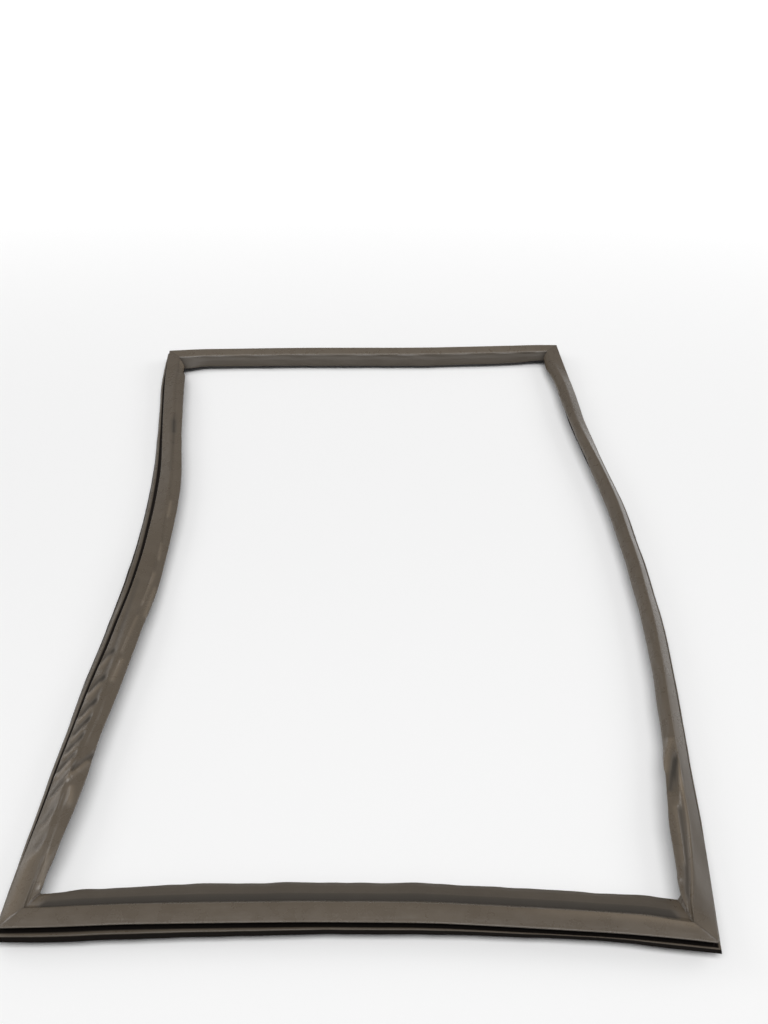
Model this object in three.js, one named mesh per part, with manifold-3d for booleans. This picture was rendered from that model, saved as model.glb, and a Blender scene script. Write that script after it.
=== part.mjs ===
// Refrigerator door gasket, lying loose on a flat surface with its sealing face up.
//
// One flexible extruded PVC profile, cut in four lengths, mitred and welded at the corners into a closed
// rectangular frame, with a flexible magnet strip inside the pocket of each side.
// Millimetres, +Z up. Origin at the centre of the footprint, on the surface the gasket lies on.
// +Y runs along the two long sides, +X along the two short ones.
import * as THREE from "three";
import { mergeVertices } from "three/addons/utils/BufferGeometryUtils.js";
import Module from "manifold-3d";

// ---- driving dimensions -------------------------------------------------------------------------
const SEAL_WIDTH = 14.6; // flat sealing face
const PROFILE_HEIGHT = 19; // dart tip to sealing face
const BASE_UNDERSIDE = 7; // underside of the base flange above the dart tip
const LIP_REACH = 5.2; // base lip beyond the sealing face's outer edge
const WING_REACH = 27.3; // soft inner wing, from the sealing face's outer edge
const WALL = 1.1;
const MAGNET_WIDTH = 9.6;
const MAGNET_THICKNESS = 2.2;
const MAGNET_CLEARANCE = 0.4; // pocket wall to magnet, each side
const MAGNET_END_GAP = 16; // magnet end to the mitre, measured along the outer edge
const VENT_SIDE = 2.4; // square vent punched through the base flange

// The frame is laid out about its own middle line; this moves the footprint's centre to the origin.
const FOOTPRINT_CENTRE = [12.253, 0.75];

// Welded corners: the sealing face's outer corners (x, y).
const CORNER = {
  nearLeft: [-258.3, -387.1],
  nearRight: [265.8, -396.5],
  farRight: [258.7, 398.0],
  farLeft: [-265.3, 384.7],
};

// Stations along each side. The loose frame bows and rolls, so each station holds
// [distance along the side's axis, position of the sealing face's outer edge across it,
//  roll in degrees (positive lifts the outer edge), spread of the soft inner wing].
const NEAR = [
  [-210, -385.9, 0, 1.1], [-169, -384.1, 0, 1.15], [-110, -383.2, 0, 1.15], [-55, -382.5, 0, 1.15],
  [0, -382.4, 0, 1.15], [65, -383.2, 0, 1.15], [110, -385.4, 0, 1.1], [155, -388.2, 0, 1.1],
  [196, -390.6, 0, 1.1], [224, -392.6, 0, 1.1],
];
const RIGHT = [
  [-360, 270.1, -8, 0.7], [-335, 273.6, -11, 0.8], [-310, 276.2, -17, 0.85], [-286, 279.3, -20, 0.7],
  [-262, 281.7, -25, 0.6], [-230, 285.3, -33, 0.6], [-190, 288.9, -42, 0.6], [-150, 292.4, -44, 0.6],
  [-105, 294.6, -46, 0.65], [-60, 295.4, -49, 0.7], [-10, 295, -51, 0.75], [40, 293, -53, 0.8],
  [90, 289.6, -54, 0.85], [140, 284, -51, 0.8], [190, 278.1, -48, 0.8], [235, 273, -40, 0.75],
  [275, 270.2, -33, 0.7], [315, 266.9, -24, 0.7], [358, 262.8, -11, 0.75],
];
const FAR = [
  [218, 396.4, 4, 0.95], [154, 394.3, 5, 1], [73, 391.3, 5, 1], [-8, 390.0, 5, 1],
  [-90, 390.1, 5, 1], [-170, 388.9, 4, 1], [-224, 386.8, 2, 0.95],
];
const LEFT = [
  [344, -262.8, -4, 0.75], [315, -259.4, -8, 0.75], [280, -254.6, -9, 0.7], [245, -249.7, -10, 0.7],
  [205, -243.3, -9, 0.7], [165, -236.9, -4, 0.7], [120, -230.8, 2, 0.7], [75, -227.9, 9, 0.75],
  [30, -226.2, 11, 0.7], [-15, -227, 12, 0.72], [-55, -228.7, 12, 0.74], [-95, -232.4, 10, 0.72],
  [-135, -236.6, 5, 0.72], [-170, -241.6, 0, 0.78], [-205, -245.1, -8, 0.78], [-240, -248.6, -13, 0.83],
  [-275, -251.1, -17, 0.88], [-305, -253.5, -18, 0.8], [-330, -255.5, -14, 0.75], [-350, -257.4, -9, 0.75],
];

// ---- the extruded section -----------------------------------------------------------------------
// u runs inwards from the sealing face's outer edge, v up from the dart's tip. Every outline runs from
// the outer edge over the top to the inner edge and back below.
const B = BASE_UNDERSIDE, T = PROFILE_HEIGHT, S = SEAL_WIDTH, W = WING_REACH, L = LIP_REACH;
const OUTLINE = [
  [0.6, T], [S - 0.4, T], [S + 0.4, T - 0.7], [S + 1.6, T - 2.6], // sealing face and step
  [S + 3.6, T - 4.4], [S + 5, T - 3.7], [S + 7.2, T - 3.4], // crease and top of the soft wing
  [W - 2.5, T - 4.4], [W - 0.3, T - 6.4], [W, T - 7.6], [W - 1, T - 8.8], [W - 4.3, B + 1.6], // wing's rounded edge
  [20.6, B], // inner edge of the base flange
  [9.4, B], [9.4, B - 2], [12.2, B - 2.6], [11.6, B - 3.6], [9.2, 0], // barbed dart, inner half
  [6.8, 0], [4.4, B - 3.6], [3.8, B - 2.6], [6.6, B - 2], [6.6, B], // barbed dart, outer half
  [-L + 2.2, B], [-L + 0.4, B + 0.6], [-L, B + 1.7], [-L + 0.8, B + 2.8], [-L + 2.6, B + 3.1], // rounded lip
  [0.8, B + 3], [2, B + 3.8], [2.2, B + 5.6], [1.4, B + 6.6], // recess under the sealing head
  [0.2, T - 5], [-0.1, T - 4], [-0.1, T - 0.8], // outer wall of the magnet pocket
];
const PU = 3; // magnet's outer edge
const PV = T - WALL - MAGNET_CLEARANCE; // magnet's top
const MAGNET = [
  [PU, PV], [PU, PV - MAGNET_THICKNESS], [PU + MAGNET_WIDTH, PV - MAGNET_THICKNESS], [PU + MAGNET_WIDTH, PV],
].reverse();
// The strip's cut ends are a little smaller, because they pass the twist next to a weld.
const MAGNET_END = MAGNET.map(([u, v]) => [
  u + (u > PU ? -0.5 : 0.5),
  v + (v < PV ? 0.35 : -0.35),
]);
const c = MAGNET_CLEARANCE;
const POCKET = [
  [PU + MAGNET_WIDTH + c, PV + c], [PU + MAGNET_WIDTH + c, PV - MAGNET_THICKNESS - c],
  [PU - c, PV - MAGNET_THICKNESS - c], [PU - c, PV + c],
];
const BELLOWS = [ // chamber between the magnet pocket and the base flange
  [13.2, T - 5.9], [14.4, T - 7.6], [13.8, B + 2.2], [4.2, B + 2.2], [3.6, B + 3.8], [4, T - 5.9],
];
const CHAMBER = [ // chamber inside the soft wing
  [W - 6.2, T - 4.7], [W - 3, T - 5.6], [W - 1.4, T - 7.2], [W - 2.2, T - 8.4], [20.2, B + 1.9],
  [16.2, B + 2.2], [15.9, T - 4.6], [17.2, T - 5.3], [18.4, T - 5.7],
];

// The soft wing spreads or curls: only what lies inwards of the head and above the base moves.
const WING_ROOT = 16.3;
const spread = ([u, v], k) => (u > WING_ROOT && v > B + 1 ? [WING_ROOT + (u - WING_ROOT) * k, v] : [u, v]);

// Roll a section point about the sealing face's outer edge.
function roll([u, v], deg) {
  const a = (deg * Math.PI) / 180, h = v - T;
  return [u * Math.cos(a) + h * Math.sin(a), -u * Math.sin(a) + h * Math.cos(a)];
}
// Place a section at a station: the lowest point of the outline touches the surface at z = 0.
function section(points, deg, k) {
  const low = Math.min(...OUTLINE.map((p) => roll(spread(p, k), deg)[1]));
  return points.map((p) => {
    const [u, h] = roll(spread(p, k), deg);
    return [u, h - low];
  });
}

// ---- rings along the frame ----------------------------------------------------------------------
// inward: unit vector from the side towards the frame's middle.
const SIDES = [
  { name: "near", rows: NEAR, along: "x", inward: [0, 1], end: CORNER.nearRight, next: [-1, 0] },
  { name: "right", rows: RIGHT, along: "y", inward: [-1, 0], end: CORNER.farRight, next: [0, -1] },
  { name: "far", rows: FAR, along: "x", inward: [0, -1], end: CORNER.farLeft, next: [1, 0] },
  { name: "left", rows: LEFT, along: "y", inward: [1, 0], end: CORNER.nearLeft, next: [0, 1] },
];
// A straight station is square to the side; a corner ring lies in the mitre plane.
const ring = (points, x, y, dx, dy, deg, k) => section(points, deg, k).map(([u, z]) => [x + dx * u, y + dy * u, z]);
function loop(points) {
  const rings = [];
  for (const s of SIDES) {
    for (const [t, across, deg, k] of s.rows) {
      const [x, y] = s.along === "x" ? [t, across] : [across, t];
      rings.push(ring(points, x, y, s.inward[0], s.inward[1], deg, k));
    }
    rings.push(ring(points, s.end[0], s.end[1], s.inward[0] + s.next[0], s.inward[1] + s.next[1], 0, 0.85));
  }
  return rings;
}

// Skin over a row of rings; a closed row makes a frame, an open row gets flat ends.
function skin(rings, closed) {
  const n = rings[0].length, position = rings.flat(2), index = [];
  const last = closed ? rings.length : rings.length - 1;
  for (let i = 0; i < last; i++) {
    const j = (i + 1) % rings.length;
    for (let a = 0; a < n; a++) {
      const b = (a + 1) % n;
      const p = i * n + a, q = i * n + b, r = j * n + a, t = j * n + b;
      index.push(p, t, q, p, r, t);
    }
  }
  if (!closed)
    for (let a = 1; a < n - 1; a++) {
      index.push(0, a, a + 1);
      const o = (rings.length - 1) * n;
      index.push(o, o + a + 1, o + a);
    }
  return new THREE.BufferGeometry()
    .setAttribute("position", new THREE.Float32BufferAttribute(position, 3))
    .setIndex(index);
}

// ---- solids ---------------------------------------------------------------------------------------
const wasm = await Module();
wasm.setup();
function solid(geometry) {
  const g = geometry.clone();
  g.deleteAttribute("normal");
  g.deleteAttribute("uv");
  const m = mergeVertices(g, 1e-4);
  const made = new wasm.Manifold(
    new wasm.Mesh({
      numProp: 3,
      vertProperties: new Float32Array(m.attributes.position.array),
      triVerts: new Uint32Array(m.index.array),
    }),
  );
  return made;
}
function geometryOf(manifold) {
  const m = manifold.getMesh();
  const g = new THREE.BufferGeometry()
    .setAttribute("position", new THREE.BufferAttribute(new Float32Array(m.vertProperties), 3))
    .setIndex(new THREE.BufferAttribute(new Uint32Array(m.triVerts), 1));
  return g;
}
function box(x, y, z0, z1, sx, sy) {
  return solid(new THREE.BoxGeometry(sx, sy, z1 - z0).translate(x, y, (z0 + z1) / 2));
}

let frame = solid(skin(loop(OUTLINE), true));
for (const hollow of [POCKET, BELLOWS, CHAMBER]) frame = frame.subtract(solid(skin(loop(hollow), true)));
// Vents under the near side: one joins the bellows and the magnet pocket to the outside beside the
// dart, the other opens the wing's chamber, so the hollow section can breathe as it is compressed.
const nearEdge = -382.45, ventX = -27.5;
frame = frame.subtract(box(ventX, nearEdge + 11.0, B - 1, T - 3.2, VENT_SIDE * 0.5, VENT_SIDE * 0.5));
frame = frame.subtract(box(ventX, nearEdge + 17.6, B - 1, T - 7.5, VENT_SIDE * 0.8, VENT_SIDE));

// ---- scene ------------------------------------------------------------------------------------------
const pvc = () => new THREE.MeshStandardMaterial({ color: 0x39302c, roughness: 0.42, metalness: 0 });
const ferrite = () => new THREE.MeshStandardMaterial({ color: 0x2b2624, roughness: 0.8, metalness: 0 });
const gasket = new THREE.Group();
gasket.position.set(-FOOTPRINT_CENTRE[0], -FOOTPRINT_CENTRE[1], 0);
const frameMesh = new THREE.Mesh(geometryOf(frame), pvc());
frameMesh.name = "gasket_frame";
gasket.add(frameMesh);

// Magnet strips: one in each side's pocket, stopping short of the welds.
const STARTS = [CORNER.nearLeft, CORNER.nearRight, CORNER.farRight, CORNER.farLeft];
SIDES.forEach((s, i) => {
  const axis = s.along === "x" ? 0 : 1, start = STARTS[i], end = s.end;
  const way = Math.sign(end[axis] - start[axis]);
  const first = s.rows[0], final = s.rows[s.rows.length - 1];
  // the end rings lie on the straight run between a mitre and its neighbouring station
  const capRing = (corner, row, sign) => {
    const mitre = ring(MAGNET_END, corner[0], corner[1],
      s.inward[0] + (axis === 0 ? sign * way : 0), s.inward[1] + (axis === 1 ? sign * way : 0), 0, 0.85);
    const [x, y] = axis === 0 ? [row[0], row[1]] : [row[1], row[0]];
    const square = ring(MAGNET_END, x, y, s.inward[0], s.inward[1], row[2], row[3]);
    const f = MAGNET_END_GAP / Math.abs(row[0] - corner[axis]);
    return mitre.map((p, k) => p.map((v, d) => v + (square[k][d] - v) * f));
  };
  const rings = [capRing(start, first, 1)];
  for (const [t, across, deg, k] of s.rows) {
    const [x, y] = axis === 0 ? [t, across] : [across, t];
    rings.push(ring(MAGNET, x, y, s.inward[0], s.inward[1], deg, k));
  }
  rings.push(capRing(end, final, -1));
  const mesh = new THREE.Mesh(skin(rings, false), ferrite());
  mesh.name = "magnet_strip_" + s.name;
  gasket.add(mesh);
});

export default gasket;
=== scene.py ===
# Refrigerator door gasket: a mitre-welded frame of soft hollow vinyl profile, lying loose with its
# sealing face up. The fine skin follows the CAD frame's path with a section that deforms more
# freely, and has the waviness, ripples, folds and weld seams of the real, relaxed extrusion.
import bpy
import math
import numpy as np
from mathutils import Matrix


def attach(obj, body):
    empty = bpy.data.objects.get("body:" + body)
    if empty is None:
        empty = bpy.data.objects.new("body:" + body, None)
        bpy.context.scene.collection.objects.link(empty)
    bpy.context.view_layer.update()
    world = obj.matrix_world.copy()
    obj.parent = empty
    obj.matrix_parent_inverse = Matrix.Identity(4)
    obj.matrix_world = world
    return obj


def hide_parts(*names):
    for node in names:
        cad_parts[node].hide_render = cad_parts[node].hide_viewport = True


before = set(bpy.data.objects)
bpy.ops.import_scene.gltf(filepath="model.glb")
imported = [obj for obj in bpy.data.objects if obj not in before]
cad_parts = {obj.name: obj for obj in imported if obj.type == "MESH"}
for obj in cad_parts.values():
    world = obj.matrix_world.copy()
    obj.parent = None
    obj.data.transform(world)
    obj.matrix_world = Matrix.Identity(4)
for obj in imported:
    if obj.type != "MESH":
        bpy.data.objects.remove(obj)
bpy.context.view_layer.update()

# ------------------------------------------------------------------------------------------------
# section, in millimetres. The head (sealing face and magnet pocket) and the base (flange, lip, dart)
# are stiff; the bellows between them lets the head roll, and the soft inner wing hangs from the
# head's inner edge at its own angle.
# ------------------------------------------------------------------------------------------------
T, B0, S = 19.0, 7.0, 14.6
# three places on the lip whose painted shade differs from side to side, marked by these values
LIP_SIDE, LIP_TOP, LIP_INNER = 0.4, 0.02, 0.05


def step(x, a, b):
    t = np.clip((np.asarray(x, float) - a) / (b - a), 0, 1)
    return t * t * (3 - 2 * t)


def turn(a, x, z):
    c, s = np.cos(a), np.sin(a)
    return np.stack([x * c + z * s, -x * s + z * c], -1)


def fillet(keys):
    """Closed outlines with rounded corners, one per ring; each key is (points, radius, steps, shade)."""
    out, shade = [], []
    for i, (p, r, k, dark) in enumerate(keys):
        if r <= 0 or k <= 0:
            out.append(p)
            shade.append(dark)
            continue
        da, db = keys[i - 1][0] - p, keys[(i + 1) % len(keys)][0] - p
        la, lb = np.linalg.norm(da, axis=1), np.linalg.norm(db, axis=1)
        da, db = da / la[:, None], db / lb[:, None]
        half = np.arccos(np.clip((da * db).sum(1), -1, 0.999)) / 2
        d = np.minimum(np.minimum(r / np.tan(half), 0.48 * la), 0.48 * lb)[:, None]
        p0, p1 = p + da * d, p + db * d
        for j in range(k + 1):
            t = j / k
            out.append((1 - t) ** 2 * p0 + 2 * t * (1 - t) * p + t * t * p1)
            shade.append(dark)
    return np.stack(out, 1), np.array(shade)


class Section:
    """The section at each of n rings: roll of the head, and length, hang, dip and bulge of the wing."""

    def __init__(self, roll, length, hang, dip, bulge, lip):
        self.one = np.ones(len(roll))
        self.ra = np.radians(roll)
        self.rb = np.where(self.ra > 0, 0.85, 0.38) * self.ra
        al = np.radians(hang)
        self.length, self.dip, self.bulge, self.lip = length, dip, bulge, lip
        self.seat = turn(self.ra, 7.3 * self.one, 0 * self.one) + turn(0.2 * (self.ra + self.rb), 0.5 * self.one, -10.5 * self.one)
        self.ridge = self.head(S + 0.15, T - 0.45)
        self.dir = np.stack([np.cos(al), -np.sin(al)], -1)
        self.up = np.stack([np.sin(al), np.cos(al)], -1)

    def head(self, u, v):
        return turn(self.ra, u * self.one, (v - T) * self.one)

    def base(self, u, v):
        return self.seat + turn(self.rb, (u - 7.8) * self.one, (v - B0 - 1.5) * self.one)

    def wall(self, u, v):
        w = float(step(v, B0 + 2.5, T - 4.4))
        return (1 - w) * self.base(u, v) + w * self.head(u, v)

    def lip_at(self, du, v):
        return self.seat + turn(self.rb, -self.lip + du - 7.8, (v - B0 - 1.5) * self.one)

    def lip_up(self, f, v):
        return self.seat + turn(self.rb, -self.lip * f - 7.8, (v - B0 - 1.5) * self.one)

    def wing(self, t, d=0.0, e=0.0):
        knots = [0, 0.1, 0.25, 0.45, 0.8, 1]
        o = self.bulge * np.interp(t, knots, [0, 0.5, 1, 1.1, 0.55, 0]) - self.dip * np.interp(t, knots, [0, 0.5, 1, 0.35, 0, 0])
        return self.ridge + self.dir * (self.length * t + e)[:, None] + self.up * (o + d)[:, None]

    def below(self):
        nose, end = self.wing(1.0, -2.2, -0.3), self.base(17.0, B0 + 1.6)
        return nose, 0.5 * nose + 0.5 * end + np.array([0, -0.7]), end

    def outline(self):
        # the last value of each key is its painted shade: 0 on the sealing face and wing, up to black in the groove,
        # on the walls and underneath; three lip keys carry marker values
        keys = [(self.head(0.0, T - 0.1), 0.55, 3, 0.0)]
        keys += [(self.head(u, T - 0.22 * ((u - 7.3) / 7.3) ** 2), 0, 0, 0.0) for u in np.linspace(1.6, 13.0, 9)]
        nose, under, end = self.below()
        keys += [(self.ridge, 1.3, 3, 0.0), (self.wing(0.12), 1.6, 3, 0.0), (self.wing(0.25), 2.6, 3, 0.0),
                 (self.wing(0.36, 0.2), 0, 0, 0.0), (self.wing(0.47, 0.35), 3.0, 2, 0.0), (self.wing(0.58, 0.35), 0, 0, 0.0),
                 (self.wing(0.69, 0.3), 0, 0, 0.0), (self.wing(0.8, 0.25), 2.0, 2, 0.0), (self.wing(0.9, 0.06), 0, 0, 0.0),
                 (self.wing(1.0, -0.2), 1.0, 3, 0.0), (nose, 1.1, 2, 0.75), (under, 2.2, 2, 0.95), (end, 0, 0, 1.0)]
        keys += [(self.base(u, v), 0, 0, 1.0) for u, v in (
            (17.0, B0), (9.4, B0), (9.4, B0 - 2), (12.2, B0 - 2.6), (9.0, 0.2), (8.0, 0),
            (7.0, 0.2), (3.8, B0 - 2.6), (6.6, B0 - 2), (6.6, B0))]
        keys += [(self.lip_at(2.2, B0 - 0.3), 1.2, 2, 1.0), (self.lip_at(0.0, B0 + 0.5), 1.3, 3, 0.9), (self.lip_up(0.70, B0 + 4.5), 1.3, 3, LIP_SIDE),
                 (self.lip_up(0.52, B0 + 5.3), 1.0, 2, LIP_TOP), (self.lip_up(0.36, B0 + 5.2), 0.8, 2, LIP_INNER), (self.lip_up(0.12, B0 + 4.8), 0.8, 2, 0.8), (self.base(1.0, B0 + 2.6), 0.7, 2, 1.0), (self.wall(2.3, B0 + 3.6), 0.6, 2, 1.0),
                 (self.wall(2.5, B0 + 6.0), 0.6, 1, 1.0), (self.head(1.7, T - 4.4), 0.8, 2, 1.0), (self.head(0.25, T - 1.7), 0.6, 2, 0.9)]
        return fillet(keys)

    def hollows(self, open_=0.3):
        pocket = np.stack([self.head(u, v) for u, v in ((13.0, 17.9), (13.0, 14.9), (2.6, 14.9), (2.6, 17.9))], 1)
        bellows = np.stack([self.wall(u, v) for u, v in ((13.0, 13.2), (13.6, 11.6), (12.9, 9.6), (6.4, 9.6), (5.6, 11.2), (6.2, 13.0))], 1)
        nose, under, end = self.below()
        keys = np.stack([self.wing(0.25), self.wing(0.47, 0.35), self.wing(0.8, 0.25), self.wing(1.0, -0.2), nose, under, end,
                         self.wall(14.6, B0 + 3.2), self.wall(14.9, T - 6.0)], 1)
        middle = keys.mean(1, keepdims=True)
        magnet = np.stack([self.head(u, v) for u, v in ((12.6, 17.5), (12.6, 15.3), (3.0, 15.3), (3.0, 17.5))], 1)
        return [pocket, bellows, middle + np.reshape(open_, (-1, 1, 1)) * (keys - middle), magnet]


# ------------------------------------------------------------------------------------------------
# the four sides: (distance along, outer edge of the sealing face, head's roll in degrees, length,
# hang in degrees, dip and bulge of the inner wing, reach of the base lip)
# ------------------------------------------------------------------------------------------------
NEAR = [
    (-230, -386.9, 0, 17.8, 24, 2.2, 0, 7.0), (-184, -385.1, 0, 19.2, 24, 2.2, 0, 6.8),
    (-138, -384.3, 0, 21.1, 24, 2.2, 0, 6.2), (-92, -383.7, 0, 21.8, 24, 2.2, 0, 5.6),
    (-46, -383.3, 0, 21.7, 24, 2.2, 0, 4.9), (0, -383.5, 0, 21.7, 24, 2.2, 0, 4.5),
    (46, -384.1, 0, 21.7, 24, 2.2, 0, 4.1), (92, -386.2, 0, 21.5, 24, 2.2, 0, 3.2),
    (138, -388.8, 0, 21.1, 24, 2.2, 0, 2.2), (184, -391.6, 0, 21.3, 24, 2.2, 0, 2.2),
    (230, -395.7, 0, 23.5, 24, 2.2, 0, 3.7),
]
RIGHT = [
    (-320, 263.5, -34.0, 14.6, 14, 1.6, 0, 3.6), (-305, 265.0, -39.9, 15.9, 14, 1.6, 0, 3.6),
    (-290, 266.3, -41.5, 15.0, 14, 1.6, 0, 3.6), (-275, 267.4, -42.5, 13.7, 14, 1.6, 0, 3.6),
    (-260, 268.6, -43.4, 12.8, 22, 1.3, 0.2, 3.6), (-245, 269.8, -43.4, 12.5, 31, 0.6, 0.7, 3.6),
    (-230, 271.3, -42.6, 12.7, 41, 0, 1.1, 3.6), (-215, 272.7, -42.4, 12.6, 43, 0, 1.1, 3.6),
    (-200, 273.9, -43.0, 12.5, 43, 0, 1.1, 3.6), (-185, 275.3, -43.8, 12.7, 44, 0, 1.1, 3.6),
    (-170, 276.6, -44.6, 12.8, 45, 0, 1.1, 3.6), (-155, 277.8, -45.4, 12.9, 46, 0, 1.1, 3.6),
    (-140, 278.8, -45.8, 12.9, 46, 0, 1.1, 3.6), (-125, 279.9, -45.9, 13.1, 46, 0, 1.1, 3.6),
    (-110, 280.9, -46.0, 13.4, 46, 0, 1.1, 3.6), (-95, 281.5, -46.3, 13.6, 46, 0, 1.1, 3.6),
    (-80, 281.8, -47.2, 13.8, 46, 0, 1.1, 3.6), (-65, 281.6, -48.5, 14.1, 46, 0, 1.1, 3.6),
    (-50, 281.5, -50.0, 14.5, 46, 0, 1.1, 3.6), (-35, 281.5, -51.1, 14.8, 46, 0, 1.1, 3.6),
    (-20, 281.4, -51.7, 14.8, 46, 0, 1.1, 3.6), (-5, 281.0, -52.1, 14.6, 46, 0, 1.1, 3.6),
    (10, 280.2, -52.8, 14.6, 46, 0, 1.1, 3.6), (25, 279.3, -53.1, 14.7, 46, 0, 1.1, 3.6),
    (40, 278.9, -52.4, 14.9, 46, 0, 1.1, 3.6), (55, 278.5, -51.5, 15.1, 46, 0, 1.1, 3.6),
    (70, 277.7, -51.3, 15.2, 46, 0, 1.1, 3.6), (85, 276.4, -51.7, 15.2, 46, 0, 1.1, 3.6),
    (100, 274.6, -52.4, 15.1, 46, 0, 1.1, 3.6), (115, 272.6, -53.3, 14.9, 46, 0, 1.1, 3.6),
    (130, 270.5, -53.7, 14.6, 46, 0, 1.1, 3.6), (145, 268.4, -53.0, 13.7, 46, 0, 1.1, 3.6),
    (160, 266.4, -50.7, 12.7, 46, 0, 1.1, 3.6), (175, 264.7, -46.9, 12.1, 46, 0, 1.1, 3.6),
    (190, 263.2, -42.2, 11.8, 46, 0, 1.1, 3.6), (205, 261.5, -37.6, 11.2, 46, 0, 1.1, 3.6),
    (220, 259.8, -34.2, 10.2, 46, 0, 1.1, 3.6), (235, 258.3, -32.8, 9.9, 46, 0, 1.1, 3.6),
    (250, 257.3, -33.5, 10.6, 46, 0, 1.1, 3.6), (265, 256.6, -35.1, 11.6, 46, 0, 1.1, 3.6),
    (280, 256.0, -36.6, 12.5, 46, 0, 1.1, 3.6), (295, 255.3, -36.6, 13.0, 46, 0, 1.1, 3.6),
    (310, 254.4, -34.2, 13.1, 47, 0, 1.1, 3.6), (325, 253.1, -29.2, 12.9, 48, 0, 1.1, 3.6),
    (340, 251.6, -21.4, 12.5, 48, 0, 1.0, 3.6), (355, 249.8, -10.2, 12.0, 49, 0, 0.8, 3.6),
]
FAR = [
    (-240, 386.9, 3.0, 14.7, 50, 0, 0.1, 4.5), (-188, 388.5, 3.0, 14.9, 54, 0, 0.1, 4.5),
    (-136, 389.9, 3.0, 15.3, 54, 0, 0.1, 4.5), (-84, 390.8, 3.0, 15.5, 54, 0, 0.1, 4.5),
    (-32, 390.9, 3.0, 15.7, 54, 0, 0.1, 4.5), (20, 390.9, 3.0, 15.7, 55, 0, 0.1, 4.5),
    (72, 391.5, 3.0, 15.7, 55, 0, 0.1, 4.5), (124, 393.5, 3.0, 15.4, 55, 0, 0.1, 4.5),
    (176, 395.7, 3.0, 14.9, 55, 0, 0.1, 4.5), (228, 397.8, 3.0, 12.9, 55, 0, 0.1, 4.5),
]
LEFT = [
    (-335, -267.6, -6.4, 9.7, 11, 1.1, 0, 6.7), (-320, -266.9, -15.2, 11.2, 10, 1.0, 0, 7.6),
    (-305, -265.8, -21.3, 12.7, 11, 0.8, 0, 8.3), (-290, -264.7, -23.7, 13.9, 11, 0.8, 0, 8.7),
    (-275, -263.7, -23.5, 14.6, 11, 0.8, 0, 9.0), (-260, -262.7, -22.2, 14.6, 12, 0.8, 0, 9.2),
    (-245, -261.6, -20.8, 14.1, 12, 0.8, 0, 9.4), (-230, -260.2, -19.2, 13.5, 12, 0.8, 0, 9.8),
    (-215, -258.7, -16.9, 13.0, 13, 0.8, 0, 10.1), (-200, -257.2, -14.0, 12.9, 13, 0.8, 0, 10.6),
    (-185, -255.8, -11.6, 13.0, 13, 0.8, 0, 11.1), (-170, -254.3, -10.3, 13.1, 14, 0.8, 0, 11.8),
    (-155, -252.5, -10.0, 12.9, 14, 0.8, 0, 12.5), (-140, -250.6, -10.5, 12.4, 14, 0.8, 0, 13.0),
    (-125, -248.8, -10.8, 12.1, 15, 0.8, 0, 13.4), (-110, -247.3, -10.0, 11.9, 15, 0.8, 0, 13.5),
    (-95, -245.8, -6.9, 11.8, 16, 0.8, 0, 13.4), (-80, -244.0, -0.8, 11.6, 16, 0.8, 0, 13.2),
    (-65, -242.0, 6.8, 11.1, 17, 0.8, 0, 12.7), (-50, -240.4, 13.5, 10.6, 17, 0.8, 0, 12.2),
    (-35, -239.4, 17.2, 10.2, 17, 0.8, 0, 11.8), (-20, -238.8, 17.3, 9.9, 18, 0.8, 0, 11.9),
    (-5, -238.5, 13.8, 9.8, 18, 0.8, 0, 12.1), (10, -238.7, 7.1, 10.0, 19, 0.8, 0, 12.5),
    (25, -239.3, -1.2, 10.6, 19, 0.8, 0, 13.0), (40, -239.9, -8.4, 11.3, 20, 0.8, 0, 13.3),
    (55, -240.5, -12.7, 11.8, 20, 0.8, 0, 13.4), (70, -241.0, -15.0, 12.2, 20, 0.8, 0, 13.4),
    (85, -241.8, -17.2, 12.4, 20, 0.8, 0, 13.3), (100, -242.8, -20.1, 12.5, 20, 0.8, 0, 13.1),
    (115, -243.9, -23.3, 12.5, 20, 0.8, 0, 13.0), (130, -245.2, -25.6, 12.4, 20, 0.8, 0, 12.7),
    (145, -246.9, -26.4, 12.1, 20, 0.8, 0, 12.2), (160, -249.1, -25.7, 11.6, 20, 0.8, 0, 11.4),
    (175, -251.3, -24.1, 11.1, 20, 0.8, 0, 10.6), (190, -253.7, -22.3, 10.7, 20, 0.8, 0, 9.8),
    (205, -256.0, -20.7, 10.5, 20, 0.8, 0, 9.1), (220, -258.3, -19.7, 10.6, 20, 0.8, 0, 8.5),
    (235, -260.7, -19.4, 10.9, 20, 0.8, 0, 8.1), (250, -263.0, -20.1, 11.3, 20, 0.8, 0, 7.8),
    (265, -265.2, -21.9, 11.8, 20, 0.8, 0, 7.7), (280, -267.4, -23.8, 12.5, 20, 0.8, 0, 7.7),
    (295, -269.6, -24.1, 13.0, 20, 0.8, 0, 7.6), (310, -271.6, -20.6, 12.9, 22, 0.8, 0, 7.4),
    (325, -273.2, -12.3, 12.2, 24, 0.7, 0, 7.0), (340, -274.2, -0.5, 10.9, 27, 0.7, 0, 6.4),
]
# welded corners: x, y, wing length across x and across y, hang, dip, bulge, lip reach
CORNERS = {
    "NL": (-270.6, -387.8, 9.1, 15.3, 24, 2.2, 0, 6.0), "NR": (253.6, -398.4, 4.9, 24.1, 24, 2.2, 0, 3.6),
    "FR": (246.5, 398.2, 8.4, 12.8, 50, 0, 0.3, 4.0), "FL": (-277.6, 384.1, 10.3, 17.0, 36, 0.6, 0.1, 5.0),
}
SIDES = [
    {"name": "near", "rows": NEAR, "axis": 0, "inward": 1, "a": "NL", "b": "NR"},
    {"name": "right", "rows": RIGHT, "axis": 1, "inward": -1, "a": "NR", "b": "FR"},
    {"name": "far", "rows": FAR, "axis": 0, "inward": -1, "a": "FR", "b": "FL"},
    {"name": "left", "rows": LEFT, "axis": 1, "inward": 1, "a": "FL", "b": "NL"},
]


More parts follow.
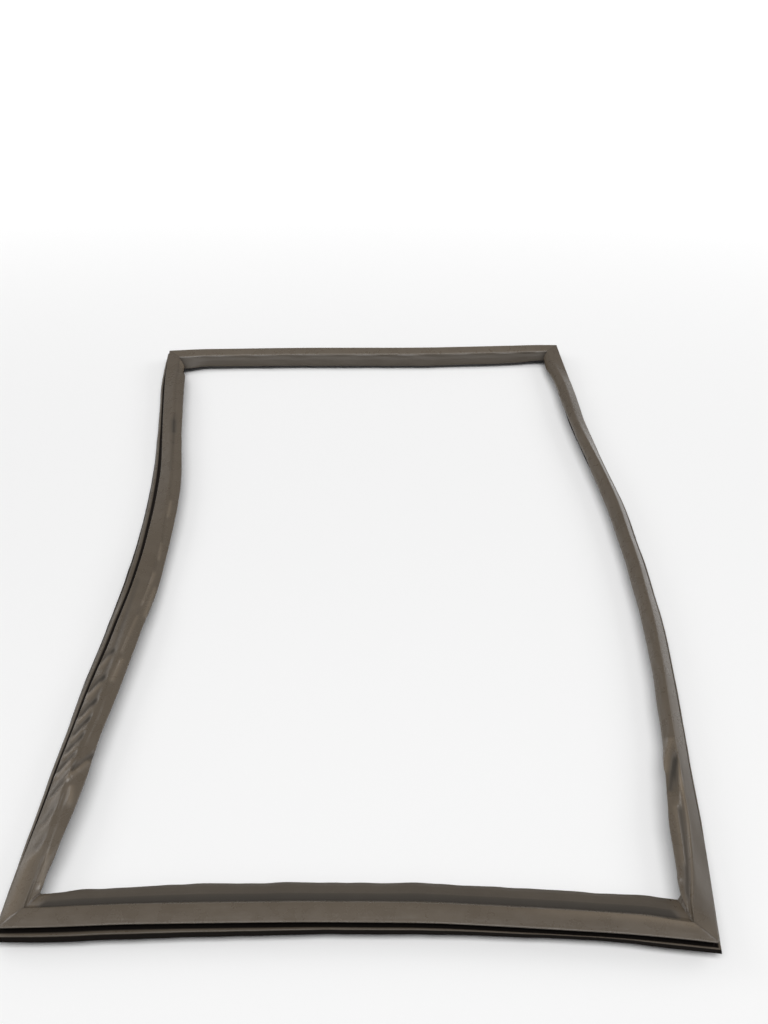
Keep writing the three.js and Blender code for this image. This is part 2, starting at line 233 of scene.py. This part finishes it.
def spline(rows, t):
    """Smooth curve through the rows, one column at a time (finite-difference cubic)."""
    a = np.array(rows, float)
    a = a[np.argsort(a[:, 0])]
    x, y = a[:, 0], a[:, 1:]
    d = (y[1:] - y[:-1]) / (x[1:] - x[:-1])[:, None]
    m = np.vstack([d[:1], (d[1:] * (x[1:-1] - x[:-2])[:, None] + d[:-1] * (x[2:] - x[1:-1])[:, None]) / (x[2:] - x[:-2])[:, None], d[-1:]])
    i = np.clip(np.searchsorted(x, t, side="right") - 1, 0, len(x) - 2)
    h = (x[i + 1] - x[i])
    s = ((t - x[i]) / h)[:, None]
    h = h[:, None]
    return ((2 * s**3 - 3 * s**2 + 1) * y[i] + (s**3 - 2 * s**2 + s) * h * m[i]
            + (-2 * s**3 + 3 * s**2) * y[i + 1] + (s**3 - s**2) * h * m[i + 1])


def spacing(name, t):
    if name == "near":
        return 4.4
    if name == "far":
        return 7.0
    if name == "right":
        return 1.6 if -310 < t < -220 else 4.2
    return 1.3 if -282 < t < -118 else 3.1


def stations(side):
    """Distances along the side's axis, from corner a up to (not including) corner b."""
    t0, t1 = CORNERS[side["a"]][side["axis"]], CORNERS[side["b"]][side["axis"]]
    length, way = abs(t1 - t0), math.copysign(1, t1 - t0)
    s = [0.0]
    while s[-1] < length:
        e = min(s[-1], length - s[-1])
        d = 0.5 if e < 1.5 else 1.2 if e < 8 else 2.4 if e < 45 else spacing(side["name"], t0 + way * s[-1])
        s.append(s[-1] + d)
    s = np.array(s)
    s = s * (length / s[-1])
    return t0 + way * s[:-1]


def waves(t, seed, scale):
    """Repeatable smooth waviness in -1..1: a few sines whose phases come from the seed."""
    r = np.random.RandomState(seed)
    f = np.array([1.0, 1.7, 2.9, 4.3])
    ph = r.uniform(0, 2 * math.pi, 4)
    w = np.array([1.0, 0.7, 0.5, 0.3])
    return (np.sin(np.asarray(t)[..., None] / scale * 2 * math.pi * f + ph) * w).sum(-1) / w.sum()


def corner_section(key, axis):
    """The section at a mitre as the side along this axis has it."""
    c = [np.array([float(x)]) for x in CORNERS[key]]
    return Section(0 * c[0], c[3] if axis == 0 else c[2], *c[4:])


def rings():
    """Ring positions of the outer skin, the three hollows and the magnet, with each ring's side and distance."""
    loops, info, shade = [[], [], [], [], []], [], None
    for n, sd in enumerate(SIDES):
        ax = sd["axis"]
        ca, cb = CORNERS[sd["a"]], CORNERS[sd["b"]]
        ta, tb = ca[ax], cb[ax]
        end = lambda c: (c[ax], c[1 - ax], 0, c[3] if ax == 0 else c[2], *c[4:])
        t = stations(sd)
        c = spline([end(ca)] + list(sd["rows"]) + [end(cb)], t)
        way = math.copysign(1, tb - ta)
        ea, eb = np.abs(t - ta), np.abs(t - tb)
        calm = step(np.minimum(ea, eb), 2, 60)
        sec = Section(c[:, 1], c[:, 2] + 0.3 * calm * waves(t, 11 + n, 130), c[:, 3] + 2.0 * calm * waves(t, 31 + n, 90),
                      np.maximum(c[:, 4], 0), np.maximum(c[:, 5], 0), c[:, 6] + 0.3 * calm * waves(t, 21 + n, 95))
        out, shade = sec.outline()
        low = out[:, :, 1].min(1)[:, None]
        oa, ob = corner_section(sd["a"], 1 - ax), corner_section(sd["b"], 1 - ax)
        for slot, pts, pa, pb in zip(loops, [out] + sec.hollows(0.3 + 0.34 * step(np.minimum(ea, eb), 4, 50)), [oa.outline()[0]] + oa.hollows(), [ob.outline()[0]] + ob.hollows()):
            fa, fb = (1 - step(ea, 0, 62))[:, None], (1 - step(eb, 0, 62))[:, None]
            p = np.zeros(pts.shape[:2] + (3,))
            p[..., ax] = t[:, None] + way * (fa * pa[..., 0] - fb * pb[..., 0])
            p[..., 1 - ax] = c[:, :1] + sd["inward"] * pts[..., 0]
            p[..., 2] = pts[..., 1] - low
            slot.append(p)
        for i in range(len(t)):
            info.append((n, t[i], ea[i], eb[i]))
    return [np.concatenate(s) for s in loops], np.array(info), shade


def normals(P):
    """Outward normals of a closed ring grid, by central differences."""
    du = np.roll(P, -1, 1) - np.roll(P, 1, 1)
    ds = np.roll(P, -1, 0) - np.roll(P, 1, 0)
    n = np.cross(ds, du)
    return n / np.maximum(np.linalg.norm(n, axis=2, keepdims=True), 1e-9)


def near_line(P, x0, y0, x1, y1, sigma):
    """Weight 0..1 near the line between two points, seen from above."""
    a, b = np.array((x0, y0), float), np.array((x1, y1), float)
    d = b - a
    q = P[..., :2] - a
    s = np.clip((q @ d) / (d @ d), 0, 1)
    e = q - s[..., None] * d
    return np.exp(-(e**2).sum(-1) / (2 * sigma**2))


LOOPS, INFO, DARK = rings()
P = LOOPS[0]
R, M = P.shape[:2]
N = normals(P)
side_of = INFO[:, 0].astype(int)
t_of = INFO[:, 1]
edge = np.minimum(INFO[:, 2], INFO[:, 3])
# the first points run over the sealing face, the next over the wing, as far as its nose
FACE, WING = 4 + 9 + 4, 4 + 9 + 4 + 4 + 4 + 1 + 3 + 1 + 1 + 3 + 1 + 4
idx = np.arange(M)
on_face = step(idx, 1, 4) * (1 - step(idx, FACE - 3, FACE + 1))
on_wing = step(idx, FACE - 3, FACE + 1) * (1 - step(idx, WING - 3, WING + 1))
shown = on_face + on_wing
on_middle = step(idx, 1, 4) * (1 - step(idx, FACE - 8, FACE - 2))
disp = np.zeros((R, M))

# lengths along the frame and round the section, for the fine lines of the extrusion
run = np.concatenate([[0], np.cumsum(np.linalg.norm(np.diff(P[:, 8], axis=0), axis=1))])
sec0 = np.linalg.norm(np.diff(P[:1], axis=1, append=P[:1, :1]), axis=2)[0]
over = np.concatenate([[0], np.cumsum(sec0)[:-1]])

# soft, irregular waviness of the thin wing wall on the two long sides, and far less elsewhere
rs = np.random.RandomState(5)
soft = np.zeros((R, M))
for _ in range(14):
    la, lu = rs.uniform(16, 70), rs.uniform(9, 30) * rs.choice([-1, 1])
    soft += np.sin(2 * math.pi * (run[:, None] / la + over[None] / lu) + rs.uniform(0, 6.3)) / 14 ** 0.5
left, right = (side_of == 3)[:, None], (side_of == 1)[:, None]
calm = step(edge, 1, 14)[:, None]
loose = 0.03 + 0.09 * left + 0.05 * right
disp += soft * calm * (loose * on_wing + 0.02 * on_face)


fold_shade_and_highlight = np.zeros((R, M))


def groove(where, depth, sigma, on, *path):
    """Press a shallow line (or raise it, with a negative depth) along a path seen from above."""
    w = 0
    for a, b in zip(path[:-1], path[1:]):
        w = np.maximum(w, near_line(P, *a, *b, sigma))
    global fold_shade_and_highlight
    # painted shade in a pressed crease and a painted highlight along a raised ridge
    fold_shade_and_highlight = fold_shade_and_highlight - 0.55 * max(-1.0, min(1.0, depth)) * where * w * on[None]
    return -depth * where * w * on[None]


# diagonal ripples pressed into the left side's sealing face, each with a raised flank
for cx, cy, depth in ((-247.8, -137.6, 0.8), (-249.0, -168.5, 1.1), (-250.1, -194.6, 1.1), (-250.8, -213.4, 1.1),
                      (-252.6, -230.6, 1.2), (-255.6, -249.1, 1.2), (-255.0, -272.0, 0.7), (-254.6, -296.0, 0.5), (-254.2, -319.0, 0.5)):
    disp += groove(left, depth, 2.0, on_middle, (cx + 5.0, cy + 7), (cx + 1.0, cy + 3), (cx - 4.5, cy - 7))
    disp += groove(left, -0.9 * depth, 2.1, on_middle, (cx + 5.0, cy - 1), (cx - 4.5, cy - 14))
# the fold and raised patches in the left wing, where its roll changes
disp += groove(left, 1.4, 1.9, on_wing, (-234.0, -242.0), (-247.8, -257.0))
disp += groove(left, -1.3, 2.0, shown, (-238.0, -250.0), (-249.5, -266.0))
disp += groove(left, -1.0, 1.8, on_wing, (-244.7, -274.2), (-242.4, -286.8))
for path, h, s in ((((-223.0, 13.5), (-221.8, -7.2)), 0.7, 1.3), (((-223.4, -27.7), (-226.9, -70.0)), 1.0, 1.5),
                   (((-218.5, -48.5), (-221.0, -85.6)), 0.9, 1.3), (((-223.5, 78.1), (-222.3, 55.3)), 0.8, 1.4),
                   (((-227.8, -88.6), (-233.3, -131.7)), 0.7, 1.2), (((-231.5, -141.9), (-235.1, -163.6)), 0.9, 1.9),
                   (((-248.6, -330.0), (-248.5, -354.7)), 0.7, 1.5)):
    disp += groove(left, -h, s, on_wing, *path)
# a long soft crease between the left side's sealing face and wing, from its middle to the ripples
disp += groove(left, 0.5, 1.5, shown, (-236.0, -40.0), (-240.5, -110.0), (-244.0, -170.0), (-249.0, -235.0))
disp += groove(left, -0.6, 3.4, on_face, (-261.6, -337.1), (-264.7, -377.9))
disp += groove(left, 0.7, 2.4, shown, (-245.0, 226.0), (-241.5, 204.0))
disp += groove(left, 0.4, 1.6, shown, (-246.0, 238.0), (-238.5, 182.0))
disp += groove(left, 0.35, 1.2, shown, (-238.5, 182.0), (-232.5, 130.0))
disp += groove(left, -0.9, 3.6, on_wing, (-257.0, 372.0), (-252.0, 350.0))

# the right side's wing buckles where it turns from hanging to spread: a pinched crease with raised edges
disp += groove(right, 1.3, 1.5, on_wing, (259.0, -243.5), (251.0, -260.0), (245.5, -276.0))
disp += groove(right, -1.4, 2.0, on_wing, (262.0, -254.0), (254.5, -272.0), (249.0, -290.0))
disp += groove(right, -1.1, 2.0, on_wing, (256.0, -230.0), (246.0, -256.0))
disp += groove(right, -0.8, 1.3, on_wing, (245.4, -292.8), (243.8, -316.9), (241.6, -338.0))

# weld seams: a thin proud bead of flash along each mitre, a little ragged
bead = np.exp(-(edge / 0.55) ** 2)
rag = 0.55 + 0.45 * np.sin(over * 2.3) * np.sin(over * 5.1 + 1)
disp += 0.22 * bead[:, None] * (rag * shown)[None]

disp = np.where(disp < 0, 0.8 * np.tanh(disp / 0.8), disp)  # a crease stays shallower than the wall
P = P + N * disp[..., None]
P[..., 2] = np.maximum(P[..., 2], 0.0)


def add_skin(verts, faces, P, flip=False):
    R, M = P.shape[:2]
    base = len(verts)
    verts.extend((P.reshape(-1, 3) / 1000.0).tolist())
    for i in range(R):
        j = (i + 1) % R
        for a in range(M):
            b = (a + 1) % M
            q = (base + i * M + a, base + j * M + a, base + j * M + b, base + i * M + b)
            faces.append(q[::-1] if flip else q)


verts, faces = [], []
add_skin(verts, faces, P)
for hollow in LOOPS[1:4]:
    add_skin(verts, faces, hollow[::3], True)
me = bpy.data.meshes.new("gasket_skin")
me.from_pydata(verts, [], faces)
me.update()


def paint(name, values):
    full = np.zeros(len(verts), np.float32)
    full[: R * M] = np.broadcast_to(values, (R, M)).reshape(-1)
    me.attributes.new(name, "FLOAT", "POINT").data.foreach_set("value", full)


paint("along_mm", run[:, None])
paint("across_mm", over[None])
paint("seam", np.exp(-(edge / 1.1) ** 2)[:, None])
# painted shade: black in the groove and underneath, and on the lip's outer side to a different height on each side
is_left, is_near = left.astype(float), (side_of == 0)[:, None].astype(float)
painted_shade = np.where(DARK[None] == LIP_SIDE, 0.25 + 0.7 * is_near, np.where(DARK[None] == LIP_INNER, 0.95 * is_left, np.where(DARK[None] == LIP_TOP, 0.3 * is_near, DARK[None])))
paint("painted_shade", painted_shade)
# painted shade in the valley between the near sealing face and its wing, thinning out to the wing's edge, a painted
# highlight band beside it towards the right corner, and on the far side flats painted a little lighter and the inner
# face painted in shade, darker towards the corners
mid = 0.5 * (FACE + WING)
valley = 0.55 * np.exp(-((idx - FACE - 5.5) / 4.0) ** 2) + 0.30 * step(idx, FACE, FACE + 4) * (1 - step(idx, WING - 4, WING))
painted_sheen = np.exp(-((idx - FACE + 4.5) / 2.6) ** 2)
painted_light = 1 - is_near * step(edge, 3, 16)[:, None] * valley + 0.55 * is_near * step(t_of, 60, 215)[:, None] * painted_sheen
far_side = (side_of == 2)[:, None].astype(float)
painted_light = painted_light + far_side * (0.16 - step(idx, FACE - 3, FACE + 1) * (0.5 + 0.35 * np.exp(-edge / 5)[:, None]))
# painted highlight on the ridge and painted shade in the valley and on the flat of the right side, near its corner
# with the near side
low_right = right * step(-t_of, 225, 262)[:, None] * step(edge, 3, 22)[:, None]
painted_light = painted_light + low_right * (0.6 * np.exp(-((idx - FACE) / 2.2) ** 2) - 0.5 * np.exp(-((idx - FACE - 8) / 3.5) ** 2) - 0.2 * (idx < FACE - 3))
painted_light = np.maximum(painted_light + fold_shade_and_highlight, 0.3)
paint("painted_light", painted_light)
me.polygons.foreach_set("use_smooth", [True] * len(me.polygons))
skin = bpy.data.objects.new("gasket_skin", me)
bpy.context.scene.collection.objects.link(skin)
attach(skin, "root")
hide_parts("gasket_frame")

# ------------------------------------------------------------------------------------------------
# materials
# ------------------------------------------------------------------------------------------------
def nodes_of(name):
    m = bpy.data.materials.new(name)
    m.use_nodes = True
    nt = m.node_tree
    nt.nodes.clear()
    out = nt.nodes.new("ShaderNodeOutputMaterial")
    b = nt.nodes.new("ShaderNodeBsdfPrincipled")
    nt.links.new(b.outputs[0], out.inputs[0])
    return m, nt, b


def noise(nt, vec, scale, detail=4, rough=0.55):
    n = nt.nodes.new("ShaderNodeTexNoise")
    n.inputs["Scale"].default_value = scale
    n.inputs["Detail"].default_value = detail
    n.inputs["Roughness"].default_value = rough
    nt.links.new(vec, n.inputs["Vector"])
    return n.outputs["Fac"]


def ramp(nt, fac, stops):
    r = nt.nodes.new("ShaderNodeValToRGB")
    while len(r.color_ramp.elements) < len(stops):
        r.color_ramp.elements.new(0.5)
    for e, (p, c) in zip(r.color_ramp.elements, stops):
        e.position = p
        e.color = (*c, 1) if len(c) == 3 else c
    nt.links.new(fac, r.inputs[0])
    return r.outputs[0]


def mapr(nt, fac, a, b, c, d):
    m = nt.nodes.new("ShaderNodeMapRange")
    for i, v in zip((1, 2, 3, 4), (a, b, c, d)):
        m.inputs[i].default_value = v
    nt.links.new(fac, m.inputs[0])
    return m.outputs[0]


def attr(nt, name):
    a = nt.nodes.new("ShaderNodeAttribute")
    a.attribute_name = name
    return a.outputs["Fac"]


def mix(nt, fac, a, b, mode="MIX"):
    m = nt.nodes.new("ShaderNodeMix")
    m.data_type = "RGBA"
    m.blend_type = mode
    if isinstance(fac, float):
        m.inputs["Factor"].default_value = fac
    else:
        nt.links.new(fac, m.inputs["Factor"])
    nt.links.new(a, m.inputs["A"])
    if isinstance(b, tuple):
        m.inputs["B"].default_value = (*b, 1)
    else:
        nt.links.new(b, m.inputs["B"])
    return m.outputs["Result"]


def pvc():
    m, nt, b = nodes_of("pvc_taupe")
    co = nt.nodes.new("ShaderNodeTexCoord").outputs["Object"]
    lines = nt.nodes.new("ShaderNodeCombineXYZ")
    s1 = nt.nodes.new("ShaderNodeMath"); s1.operation = "MULTIPLY"; s1.inputs[1].default_value = 0.012
    nt.links.new(attr(nt, "along_mm"), s1.inputs[0])
    nt.links.new(s1.outputs[0], lines.inputs[0])
    nt.links.new(attr(nt, "across_mm"), lines.inputs[1])
    ext = noise(nt, lines.outputs[0], 2.2, 3, 0.6)      # fine lines left by the extrusion die
    broad = noise(nt, co, 9.0, 3, 0.5)                  # slow variation in tone along the sides
    cloud = noise(nt, co, 60.0, 5, 0.6)                 # handling marks and faint dust
    grain = noise(nt, co, 1500.0, 2, 0.5)               # matt micro grain of plasticised vinyl
    col = ramp(nt, broad, [(0.3, (0.090, 0.071, 0.051)), (0.7, (0.106, 0.085, 0.062))])
    col = mix(nt, mapr(nt, cloud, 0.45, 0.8, 0.0, 0.3), col, (0.135, 0.111, 0.084))
    col = mix(nt, mapr(nt, ext, 0.35, 0.65, 0.0, 0.18), col, (0.068, 0.053, 0.038))
    col = mix(nt, mapr(nt, attr(nt, "seam"), 0.1, 1.0, 0.0, 0.5), col, (0.06, 0.047, 0.036))
    # painted light: darker and lighter bands multiplied into the colour
    painted_light = attr(nt, "painted_light")
    col = mix(nt, 1.0, col, painted_light, "MULTIPLY")
    painted_shade = attr(nt, "painted_shade")                           # painted shade, black in the groove and underneath
    col = mix(nt, mapr(nt, painted_shade, 0.15, 0.9, 0.0, 0.95), col, (0.006, 0.005, 0.005))
    nt.links.new(col, b.inputs["Base Color"])
    rough = mapr(nt, cloud, 0.3, 0.75, 0.23, 0.36)       # painted shade, and darker painted light, is matt; clean vinyl semi-gloss
    for dull in (mapr(nt, painted_shade, 0.1, 0.8, 0.2, 0.95), mapr(nt, painted_light, 0.45, 0.95, 0.8, 0.2)):
        top = nt.nodes.new("ShaderNodeMath"); top.operation = "MAXIMUM"
        nt.links.new(rough, top.inputs[0])
        nt.links.new(dull, top.inputs[1])
        rough = top.outputs[0]
    nt.links.new(rough, b.inputs["Roughness"])
    # painted shade also loses its specular reflection
    nt.links.new(mapr(nt, painted_shade, 0.1, 0.8, 0.5, 0.05), b.inputs["Specular IOR Level"])
    b.inputs["IOR"].default_value = 1.53
    b1 = nt.nodes.new("ShaderNodeBump"); b1.inputs["Strength"].default_value = 0.25; b1.inputs["Distance"].default_value = 0.0003
    b2 = nt.nodes.new("ShaderNodeBump"); b2.inputs["Strength"].default_value = 0.12; b2.inputs["Distance"].default_value = 0.0001
    nt.links.new(ext, b1.inputs["Height"])
    nt.links.new(grain, b2.inputs["Height"])
    nt.links.new(b1.outputs[0], b2.inputs["Normal"])
    nt.links.new(b2.outputs[0], b.inputs["Normal"])
    return m


def magnet():
    m, nt, b = nodes_of("ferrite_rubber")
    co = nt.nodes.new("ShaderNodeTexCoord").outputs["Object"]
    g = noise(nt, co, 900.0, 4, 0.6)
    nt.links.new(ramp(nt, g, [(0.35, (0.022, 0.019, 0.018)), (0.7, (0.045, 0.04, 0.037))]), b.inputs["Base Color"])
    nt.links.new(mapr(nt, g, 0.3, 0.7, 0.65, 0.85), b.inputs["Roughness"])
    return m


skin.data.materials.append(pvc())

# the four flexible magnets, hidden in the pockets: each follows the skin's head and stops short of the welds
mag = magnet()
for n, sd in enumerate(SIDES):
    keep = [i for i in range(0, R, 3) if side_of[i] == n and edge[i] > 16]
    bar = LOOPS[4][keep]
    bv = (bar.reshape(-1, 3) / 1000.0).tolist()
    bf = [(i * 4 + a, (i + 1) * 4 + a, (i + 1) * 4 + (a + 1) % 4, i * 4 + (a + 1) % 4) for i in range(len(keep) - 1) for a in range(4)]
    bf += [(0, 1, 2, 3), tuple((len(keep) - 1) * 4 + a for a in (3, 2, 1, 0))]
    bme = bpy.data.meshes.new("magnet_bar_" + sd["name"])
    bme.from_pydata(bv, [], bf)
    bme.update()
    bob = bpy.data.objects.new("magnet_bar_" + sd["name"], bme)
    bpy.context.scene.collection.objects.link(bob)
    bme.materials.append(mag)
    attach(bob, "root")
    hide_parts("magnet_strip_" + sd["name"])

# ------------------------------------------------------------------------------------------------
# floor, light, camera
# ------------------------------------------------------------------------------------------------
fm, nt, fb = nodes_of("floor_pale")
fb.inputs["Base Color"].default_value = (0.9, 0.9, 0.9, 1)
fb.inputs["Roughness"].default_value = 0.8
floor_me = bpy.data.meshes.new("floor")
floor_me.from_pydata([(-30, -30, -0.0002), (30, -30, -0.0002), (30, 30, -0.0002), (-30, 30, -0.0002)], [], [(0, 1, 2, 3)])
floor = bpy.data.objects.new("floor", floor_me)
floor.data.materials.append(fm)
bpy.context.scene.collection.objects.link(floor)

world = bpy.data.worlds.new("world")
bpy.context.scene.world = world
world.use_nodes = True
world.node_tree.nodes["Background"].inputs[0].default_value = (1, 1, 1, 1)
world.node_tree.nodes["Background"].inputs[1].default_value = 0.28


def area(name, loc, target, size, power, size_y=None):
    d = bpy.data.lights.new(name, "AREA")
    d.energy = power
    d.size = size
    if size_y:
        d.shape = "RECTANGLE"
        d.size_y = size_y
    o = bpy.data.objects.new(name, d)
    o.location = loc
    from mathutils import Vector
    o.rotation_mode = "QUATERNION"
    o.rotation_quaternion = (Vector(target) - Vector(loc)).to_track_quat("-Z", "Y")
    bpy.context.scene.collection.objects.link(o)
    return o


# a soft panel overhead, and two upright ones at the sides that pick out the folds
area("overhead", (0.0, -0.75, 2.5), (0.0, -0.45, 0), 3.0, 52, 1.3)
area("left_side", (-2.0, 0.9, 1.3), (0, 0, 0.02), 1.2, 8, 0.9)
area("right_side", (2.0, 0.5, 1.1), (0, 0, 0.02), 1.2, 9, 0.9)
# light for the far floor only, from a panel too narrow in spread to reach the object
area("far_floor", (0.0, 4.9, 3.0), (0.0, 4.9, 0), 16.0, 560, 7.0).data.spread = math.radians(60)

cam_d = bpy.data.cameras.new("camera")
cam_d.lens = 918.0 * 36.0 / 1024.0
cam_d.sensor_width = 36.0
cam_d.clip_start, cam_d.clip_end = 0.05, 100
cam = bpy.data.objects.new("camera", cam_d)
cam.location = (0.011747, -0.67675, 0.694)
cam.rotation_euler = (math.radians(90 - 42.45), 0, 0)
bpy.context.scene.collection.objects.link(cam)
bpy.context.scene.camera = cam
bpy.context.scene.view_settings.view_transform = "Standard"
